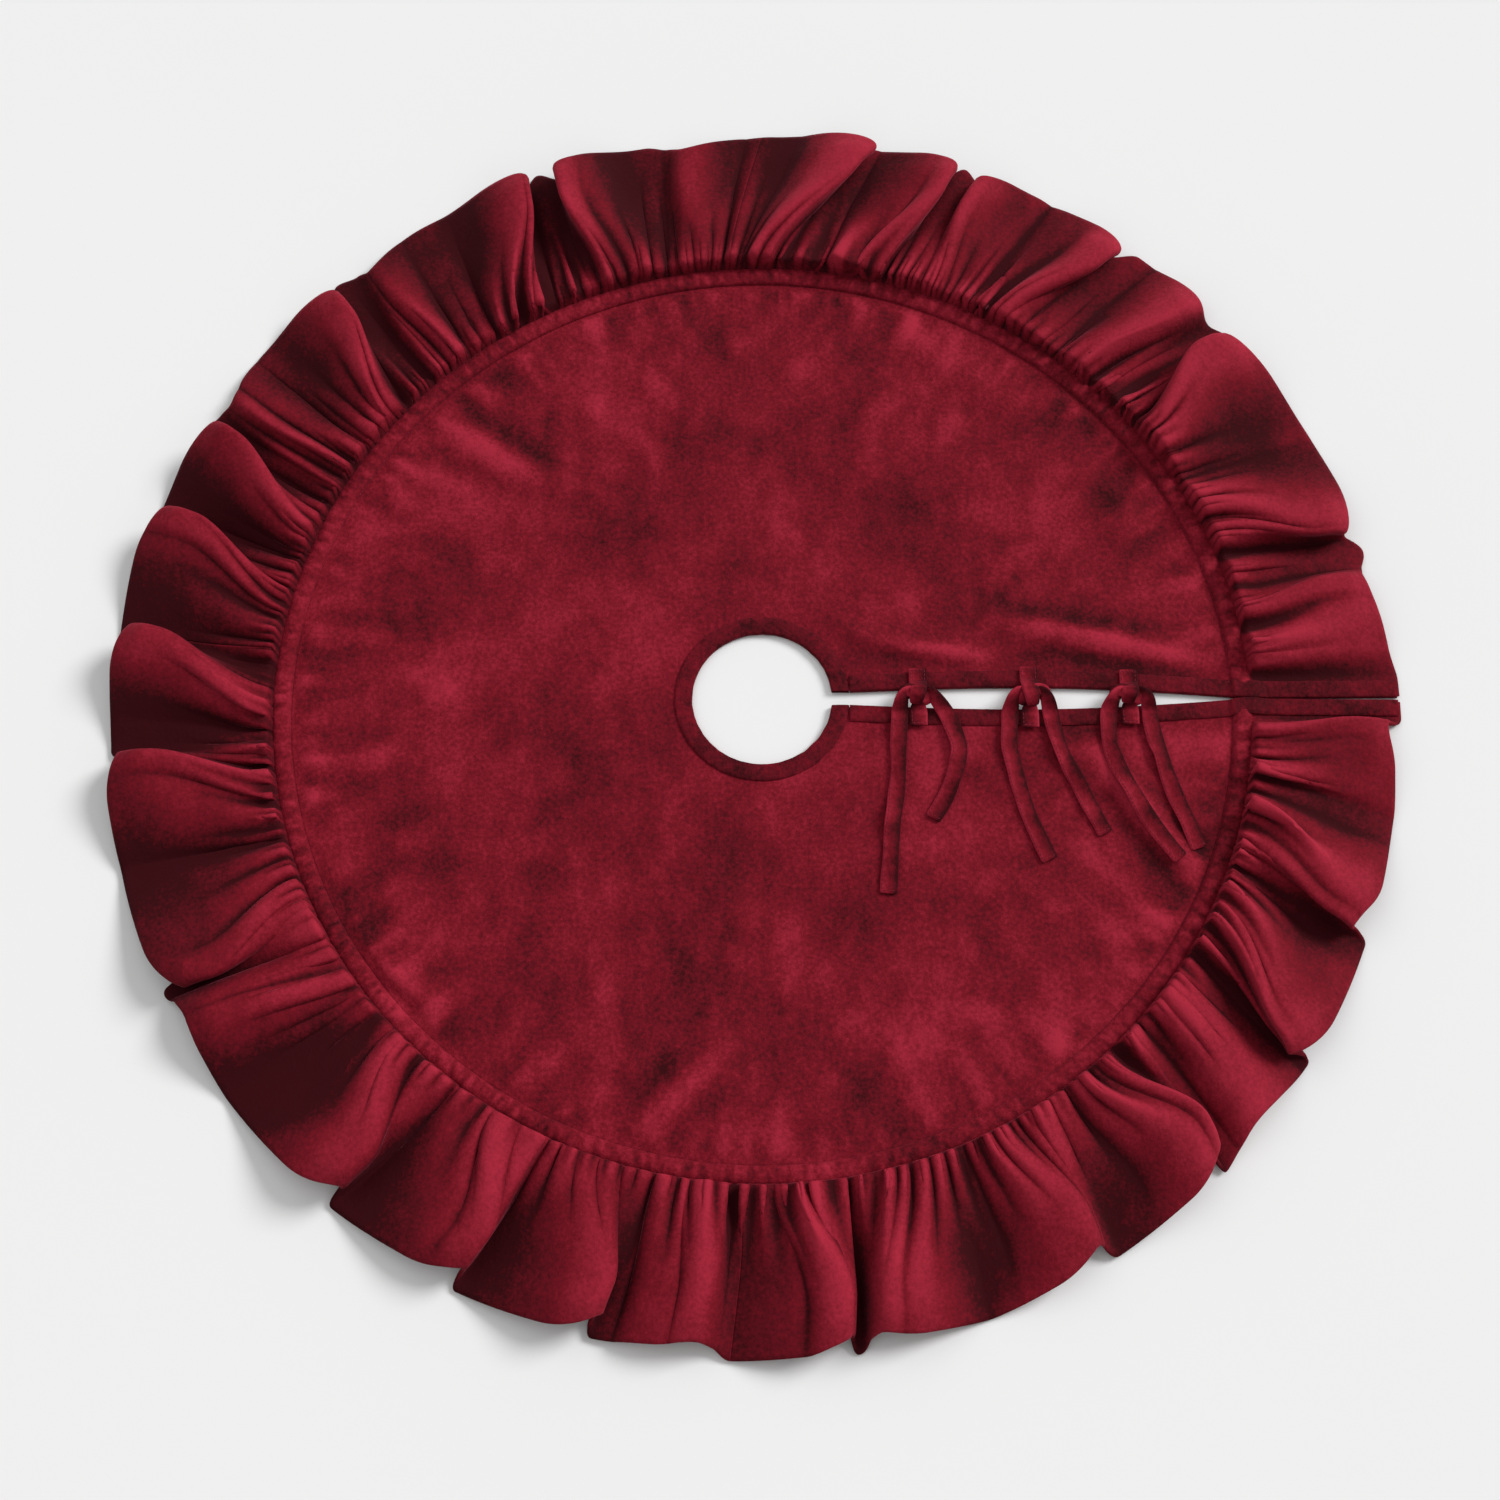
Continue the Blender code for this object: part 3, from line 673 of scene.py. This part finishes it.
def ruffle_point(turn, depth):
    """A point of the ruffle: turn counts folds from the slit's far side, depth goes from seam to hem."""
    index = min(len(FOLDS) - 1, int(turn))
    share = turn - index
    low, crest, high = fold_angles(index, depth)
    angle = low + (crest - low) * share * 2 if share < 0.5 else crest + (high - crest) * (share * 2 - 1)
    height, lean, reach = FOLDS[index][2:]
    power = BROAD_FOLD_POWER + NARROWER_BY * smooth_step(0.3 + math.sin(crest))
    bump = math.sin(math.pi * share) ** power
    lift = 1 - (1 - depth) ** FOLD_RISE_POWER
    steep = share if lean > 0 else 1 - share
    tucked = smooth_step((steep - 0.30) / 0.34) * (1 - smooth_step((steep - 0.80) / 0.20))
    radius = FREE_RADIUS + (OVERALL_RADIUS - FREE_RADIUS) * depth

    # The ends at the slit lie flat under the bindings.
    first = slit_angle(radius, 0.0012)
    angle = first + (2 * math.pi - 2 * first) * angle / (2 * math.pi)
    from_slit = radius * min(angle, 2 * math.pi - angle) - slit_edge(radius) - BINDING_WIDTH
    freed = smooth_step((from_slit - 0.002) / RUFFLE_EASE_AT_SLIT)

    rise = height * bump * lift
    side = lean * (high - low) / 2 * bump * smooth_step(depth / FULL_LEAN_DEPTH)
    for gather_rise, gather_side in gathered(turn, depth, radius):
        rise += gather_rise
        side += gather_side
    drape = 0.0022 * ripple(turn * 1.9, depth * 2.2, 5.0) * depth
    droop = 1 - HEM_DROOP * smooth_step((depth - 0.78) / 0.22) ** 2
    rise = max(0.0, rise * droop + drape * bump)

    angle += side * freed
    level = HEADING_LEVEL + (RUFFLE_LEVEL - HEADING_LEVEL) * smooth_step(depth / 0.12)
    deeper = HEM_REACH - 0.016 * max(0.0, math.cos(angle)) ** 2
    hem_reach = deeper + (reach - 0.007) * bump - HEM_TUCK * abs(lean) * tucked * depth ** 2
    hem_reach += 0.004 * ripple(turn * 0.8, 2.0)
    radius += hem_reach * depth ** 2 * freed
    return (radius * math.cos(angle), radius * math.sin(angle), level + rise * freed)


def make_ruffle(index):
    """One length of the doubled strip, gathered into the seam."""
    def point(across, down):
        turn = FOLDS_PER_PIECE * (index + across)
        if down < HEADING_SHARE:
            x, y, _ = ruffle_point(turn, 0.0)
            shrink = (HEADING_RADIUS + (FREE_RADIUS - HEADING_RADIUS) * down / HEADING_SHARE) / FREE_RADIUS
            return (x * shrink, y * shrink, HEADING_LEVEL)
        return ruffle_point(turn, ((down - HEADING_SHARE) / (1 - HEADING_SHARE)) ** ROWS_TOWARDS_HEM)

    def nap_and_painted_light(across, down):
        """Painted light: the ruffle's colour is made lighter on its +X side and darker on its -X side."""
        return 0.22 * math.cos(2 * math.pi * (index + across) / RUFFLE_PIECES + 0.3)

    name = "ruffle_cloth_{}".format(index + 1)
    # Painted shade in the hollows of the folds and gathers and painted highlights on their crests, with
    # painted light on the +X side.
    bm = cloth_grid(RUFFLE_COLUMNS, RUFFLE_ROWS, point, ((4, 0.0022), (26, 0.0110)), nap_and_painted_light)
    # The last row of the grid is the hem, where the cloth thins to a rounded edge.
    full = bm.verts.layers.deform.verify()
    bm.verts.ensure_lookup_table()
    hem = set(bm.verts[-(RUFFLE_COLUMNS + 1):])
    for vert in bm.verts:
        vert[full][0] = 0.0 if vert in hem else 1.0
    ruffle = piece_from(name, bm, RUFFLE_VELVET)
    ruffle.vertex_groups.new(name="full thickness")
    solid = thicken(ruffle, RUFFLE_CLOTH)
    solid.vertex_group = "full thickness"
    solid.thickness_vertex_group = HEM_THICKNESS_SHARE
    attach(ruffle, "skirt")
    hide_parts("ruffle_{}".format(index + 1))


# Stitches.

def stitch_row(name, route, body, replaced=None, thickness=STITCH_THICKNESS):
    """Single stitches laid end to end along a route of points, made a few at a time."""
    row_bm = bmesh.new()
    batch_bm = bmesh.new()
    batch = bpy.data.meshes.new("stitches")
    walked = 0.0
    due = STITCH_PITCH / 2
    for first, second in zip(route, route[1:]):
        run = Vector(second) - Vector(first)
        while due <= walked + run.length:
            centre = Vector(first) + run * ((due - walked) / run.length)
            turn = run.to_track_quat("Z", "Y").to_matrix().to_4x4()
            scale = Matrix.Diagonal((thickness / 2, thickness / 2, STITCH_LENGTH / 2, 1.0))
            bmesh.ops.create_uvsphere(batch_bm, u_segments=6, v_segments=5, radius=1.0,
                                      matrix=Matrix.Translation(centre) @ turn @ scale)
            due += STITCH_PITCH
            if len(batch_bm.faces) > STITCH_BATCH:
                batch_bm.to_mesh(batch)
                row_bm.from_mesh(batch)
                batch_bm.clear()
        walked += run.length
    batch_bm.to_mesh(batch)
    row_bm.from_mesh(batch)
    batch_bm.free()
    bpy.data.meshes.remove(batch)
    row = piece_from(name, row_bm, THREAD)
    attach(row, body)
    if replaced:
        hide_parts(replaced)
    return row


def make_stitching():
    """The rows along the seam, around the hole and down both sides of the slit."""
    for name, radius, level, inset, replaced in (
            ("seam_stitches", TOPSTITCH_RADIUS + 0.0010, PANEL_TOP + STITCH_LIFT, BINDING_WIDTH + 0.002,
             "seam_topstitching"),
            ("hole_stitches", HOLE_BINDING_OUTER - STITCH_INSET, BINDING_TOP + STITCH_LIFT, 0.003,
             "hole_stitching")):
        start = slit_angle(radius, inset)
        steps = int(radius * 2 * math.pi / STITCH_PITCH) + 1
        route = []
        for step in range(steps + 1):
            angle = start + (2 * math.pi - 2 * start) * step / steps
            route.append((radius * math.cos(angle), radius * math.sin(angle), level))
        stitch_row(name, route, "skirt", replaced)
    for name, side in (("far", 1), ("near", -1)):
        route = []
        x = HOLE_BINDING_OUTER + 0.002
        while x < OVERALL_RADIUS - 0.008:
            y = slit_edge(x) + BINDING_WIDTH - STITCH_INSET
            route.append((x, side * y, BINDING_TOP + layers_rise(x) + STITCH_LIFT))
            x += STITCH_PITCH
        stitch_row("slit_stitches_" + name, route, "skirt", "slit_stitching_" + name)


# Ties.

def smooth_route(stops, steps):
    """Rows of numbers read off a smooth curve through the stops."""
    rows = []
    for index in range(len(stops) - 1):
        before = stops[max(0, index - 1)]
        first = stops[index]
        second = stops[index + 1]
        after = stops[min(len(stops) - 1, index + 2)]
        for step in range(steps):
            t = step / steps
            rows.append([
                0.5 * (2 * b + (c - a) * t + (2 * a - 5 * b + 4 * c - d) * t * t
                       + (3 * b - a - 3 * c + d) * t ** 3)
                for a, b, c, d in zip(before, first, second, after)])
    rows.append(list(stops[-1]))
    return rows


def strap(name, stops, steps=5, around=16):
    """A flat sewn tube laid along stops of (x, y, z, width, thickness, tilt)."""
    rows = smooth_route(stops, steps)
    sections = []
    for index, row in enumerate(rows):
        ahead = rows[min(len(rows) - 1, index + 1)]
        behind = rows[max(0, index - 1)]
        along = (Vector(ahead[:3]) - Vector(behind[:3])).normalized()
        wide = along.cross(Vector((0.0, 0.0, 1.0))).normalized()
        wide.rotate(Matrix.Rotation(math.radians(row[5]), 3, along))
        sections.append((Vector(row[:3]), wide, wide.cross(along), row[3] / 2, row[4] / 2))
    last = len(sections) - 1

    def point(across, down):
        centre, wide, up, half, thick = sections[round(down * last)]
        turn = 2 * math.pi * across
        out = math.copysign(abs(math.cos(turn)) ** TUBE_SIDE_POWER, math.cos(turn))
        lift = math.copysign(abs(math.sin(turn)) ** TUBE_TOP_POWER, math.sin(turn))
        rim = 1 + SEAM_RIM * math.exp(-((out - SEAM_RIM_PLACE) / SEAM_RIM_WIDTH) ** 2)
        from_end = min(down, 1 - down) * last
        round_end = min(1.0, TUBE_END_SHARE + (1 - TUBE_END_SHARE) * from_end)
        return centre + wide * (half * out) + up * (thick * lift * rim * round_end)

    # Painted light and shade across the tube: lighter along one long edge, darker along the other, with a
    # little uneven tone.
    def nap_and_painted_light(across, down):
        return 0.8 * math.cos(2 * math.pi * across) + 0.3 * ripple(down * last * 0.35, across * 2.0, last)

    bm = cloth_grid(around, last, point, nap_and_painted_light=nap_and_painted_light)
    bmesh.ops.remove_doubles(bm, verts=bm.verts, dist=0.00001)
    bmesh.ops.holes_fill(bm, edges=[edge for edge in bm.edges if edge.is_boundary], sides=0)
    piece = piece_from(name, bm, TIE_VELVET)
    soft = piece.modifiers.new("soft cloth", "SUBSURF")
    soft.levels = 1
    soft.render_levels = 1
    return piece, sections


def tab_end(x):
    """How far from the slit's centre line a tab's sewn end reaches over its binding."""
    return slit_edge(x) + BINDING_WIDTH + TACK_MARGIN


def tail_stops(knot, side, length, lean, bow):
    """A tail's middle line: out of the knot, over the near binding, then down the near flap."""
    start = knot + side * TAIL_PITCH
    straight = tab_end(knot) + TACK_MARGIN
    limit = math.sqrt(CLEAR_PANEL_RADIUS ** 2 - length ** 2)
    edge = slit_edge(knot)
    stops = [
        (knot + side * 0.0035, 0.0030, 0.0130, 0.0115, 0.0040, side * 30),
        (knot + side * 0.0100, 0.0016, 0.0162, 0.0130, 0.0042, side * 40),
        (knot + side * 0.0158, -0.0042, 0.0170, 0.0140, 0.0040, side * 30),
    ]
    downs = [edge + 0.004, straight * 0.80, straight + TAIL_FALL_RUN * 0.6]
    rest = length - downs[-1]
    steps = max(4, round(rest / TAIL_BEND_LENGTH))
    downs += [downs[-1] + rest * (step + 1) / steps for step in range(steps)]
    for down in downs:
        share = max(0.0, (down - straight) / (length - straight))
        bowed = side * bow * math.sin(math.pi * down / length)
        x = start + lean * (limit - start) * share ** LEAN_POWER + bowed
        fallen = smooth_step((down - straight) / TAIL_FALL_RUN)
        level = TAB_LEVEL + (TAIL_LEVEL - TAB_LEVEL) * fallen + panel_rise(x, -down)
        loose = math.sin(math.pi * min(1.0, down / length)) ** 0.5
        x += TAIL_WANDER * ripple(down * 26.0, knot * 17.0, side * 3.0) * loose
        tilt = TAIL_TWIST * ripple(down * 27.0, knot * 23.0, side * 5.0) * loose * (0.3 + 0.7 * fallen)
        width = TIE_WIDTH * (0.93 + 0.10 * ripple(down * 35.0, knot * 11.0, side))
        level += 0.46 * width * abs(math.sin(math.radians(tilt)))
        level += TAIL_LOOSE_LIFT * loose * (0.5 + 0.5 * ripple(down * 38.0, knot * 31.0, side))
        stops.append((x, -down, level, width, TIE_THICKNESS * 1.05, tilt))
    return stops


def tack_route(x, side):
    """A box of stitches through a tab's sewn end."""
    half = TIE_WIDTH / 2 - STITCH_INSET
    outer = tab_end(x) - STITCH_INSET
    inner = outer - TACK_LENGTH
    level = TAB_LEVEL + TIE_THICKNESS / 2 + 0.0001
    corners = ((-half, inner), (-half, outer), (half, outer), (half, inner), (-half, inner))
    return [(x + across, side * y, level) for across, y in corners]


def make_knot(number, x):
    """The two sewn tabs, which meet in the half knot, and the turn that crosses between them."""
    outer = tab_end(x)
    edge = slit_edge(x)
    full = TIE_WIDTH * 1.02
    way = KNOT_WAYS[number - 1]
    # The near tab rises to the knot from below; the far tab wraps over it and tucks in behind.
    into_knot = {
        "near": (
            (x, -(edge + 0.001), TAB_LEVEL + 0.0014, full * 0.90, TIE_THICKNESS * 1.3, -4),
            (x + 0.0008, -edge * 0.55, 0.0098, full * 0.66, TIE_THICKNESS * 1.4, -10),
            (x + 0.0014, -0.0005, 0.0102, full * 0.46, TIE_THICKNESS * 1.4, -14),
        ),
        "far": (
            (x, edge + 0.0015, TAB_LEVEL + 0.0042, full, TIE_THICKNESS * 1.4, way * 3),
            (x, edge * 0.55, 0.0186, full * 0.96, TIE_THICKNESS * 1.6, way * 7),
            (x - way * 0.0006, edge * 0.12, 0.0214, full * 0.92, TIE_THICKNESS * 1.7, way * 10),
            (x - way * 0.0016, -edge * 0.30, 0.0204, full * 0.86, TIE_THICKNESS * 1.6, way * 8),
            (x - way * 0.0026, -edge * 0.66, 0.0160, full * 0.76, TIE_THICKNESS * 1.5, way * 4),
            (x - way * 0.0028, -edge * 0.78, 0.0128, full * 0.60, TIE_THICKNESS * 1.3, 0),
        ),
    }
    for name, side in (("far", 1), ("near", -1)):
        stops = (
            (x, side * outer, TAB_LEVEL, full, TIE_THICKNESS, 0),
            (x, side * (outer - 0.006), TAB_LEVEL + 0.0002, full, TIE_THICKNESS, 0),
            (x, side * (edge + 0.006), TAB_LEVEL + 0.0003, full, TIE_THICKNESS * 1.1, 0),
            *into_knot[name],
        )
        tab, _ = strap("tie_{}_{}_tab".format(number, name), stops)
        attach(tab, "skirt")
        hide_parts("tie_{}_{}_root".format(number, name))
        outer + (FAR_TAB_WRAP if side > 0 else 0.0)
        stitch_row("tie_{}_{}_stitches".format(number, name), tack_route(x, side), "skirt",
                   "tie_{}_{}_tack".format(number, name))
    turn = (
        (x - way * 0.0150, 0.0012, 0.0118, 0.0090, 0.0040, -10),
        (x - way * 0.0140, 0.0030, 0.0154, 0.0120, 0.0046, -8),
        (x - way * 0.0080, 0.0036, 0.0172, 0.0140, 0.0046, -4),
        (x, 0.0010, 0.0164, 0.0140, 0.0044, 0),
        (x + way * 0.0076, -0.0040, 0.0158, 0.0125, 0.0044, 5),
        (x + way * 0.0108, -0.0078, 0.0120, 0.0095, 0.0040, 10),
    )
    crossing, _ = strap("tie_{}_turn".format(number), turn)
    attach(crossing, "skirt")


def make_tail(number, knot, tail):
    """A loose tail out of the knot, with the stitches along its edge and end on the tail's own body."""
    side_name, length, lean, bow = tail
    side = -1 if side_name == "left" else 1
    stops = tail_stops(knot, side, length, lean, bow)
    name = "tie_{}_{}".format(number, side_name)
    body = "tail_{}_{}".format(number, side_name)
    piece, sections = strap(name + "_loose", stops, steps=4)
    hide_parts(name + "_tail")
    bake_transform(piece)
    route = [
        centre + wide * (half * SEAM_RIM_PLACE) + up * (thick * 1.12)
        for centre, wide, up, half, thick in sections if centre.y < TAIL_STITCHED_FROM]
    fine = STITCH_THICKNESS * TAIL_STITCH_SHARE
    stitch_row(name + "_edge_stitches", route, body, thickness=fine)
    centre, wide, up, half, thick = sections[-1]
    back = wide.cross(up) * TAIL_END_STITCH_INSET
    if back.y < 0:
        back = -back
    end_row = [centre + back + wide * (half * across) + up * (thick * 1.05)
               for across in (-0.85, 0.0, SEAM_RIM_PLACE)]
    stitch_row(name + "_end_stitches", end_row, body, thickness=fine)


# Studio.

def make_studio():
    """A pale floor, two soft lights, a white surround and the camera."""
    floor_bm = bmesh.new()
    bmesh.ops.create_grid(floor_bm, x_segments=4, y_segments=4, size=FLOOR_SIZE)
    bmesh.ops.translate(floor_bm, verts=floor_bm.verts, vec=(0.0, 0.0, FLOOR_LEVEL))
    mesh = bpy.data.meshes.new("floor")
    floor_bm.to_mesh(mesh)
    floor_bm.free()
    mesh.materials.append(floor_finish())
    floor = bpy.data.objects.new("floor", mesh)
    bpy.context.scene.collection.objects.link(floor)

    for name, (toward, strength, spread) in LIGHTS.items():
        lamp = bpy.data.lights.new(name, "SUN")
        lamp.energy = strength
        lamp.angle = math.radians(spread)
        light = bpy.data.objects.new(name, lamp)
        light.rotation_euler = Vector(toward).to_track_quat("-Z", "Y").to_euler()
        bpy.context.scene.collection.objects.link(light)

    world = bpy.data.worlds.new("studio")
    world.use_nodes = True
    surround = world.node_tree.nodes["Background"]
    surround.inputs["Color"].default_value = (1.0, 1.0, 1.0, 1.0)
    surround.inputs["Strength"].default_value = SURROUND_STRENGTH
    bpy.context.scene.world = world
    bpy.context.scene.view_settings.view_transform = "Standard"

    lens = bpy.data.cameras.new("camera")
    lens.sensor_width = 36.0
    lens.lens = CAMERA_LENS
    camera = bpy.data.objects.new("camera", lens)
    aim = Vector(CAMERA_AIM)
    height_angle = math.radians(CAMERA_HEIGHT_ANGLE)
    back_and_up = Vector((0.0, -math.cos(height_angle), math.sin(height_angle)))
    camera.location = aim + CAMERA_DISTANCE * back_and_up
    camera.rotation_euler = (aim - camera.location).to_track_quat("-Z", "Y").to_euler()
    bpy.context.scene.collection.objects.link(camera)
    bpy.context.scene.camera = camera


make_studio()
make_panel()
make_hole_binding()
make_slit_binding("far", 1)
make_slit_binding("near", -1)
for quarter in range(RUFFLE_PIECES):
    make_ruffle(quarter)
make_stitching()
for knot_index, knot_share in enumerate(KNOT_SHARES):
    knot_place = HOLE_RADIUS + (SEAM_RADIUS - HOLE_RADIUS) * knot_share
    make_knot(knot_index + 1, knot_place)
    for tie_tail in TAILS[2 * knot_index:2 * knot_index + 2]:
        make_tail(knot_index + 1, knot_place, tie_tail)
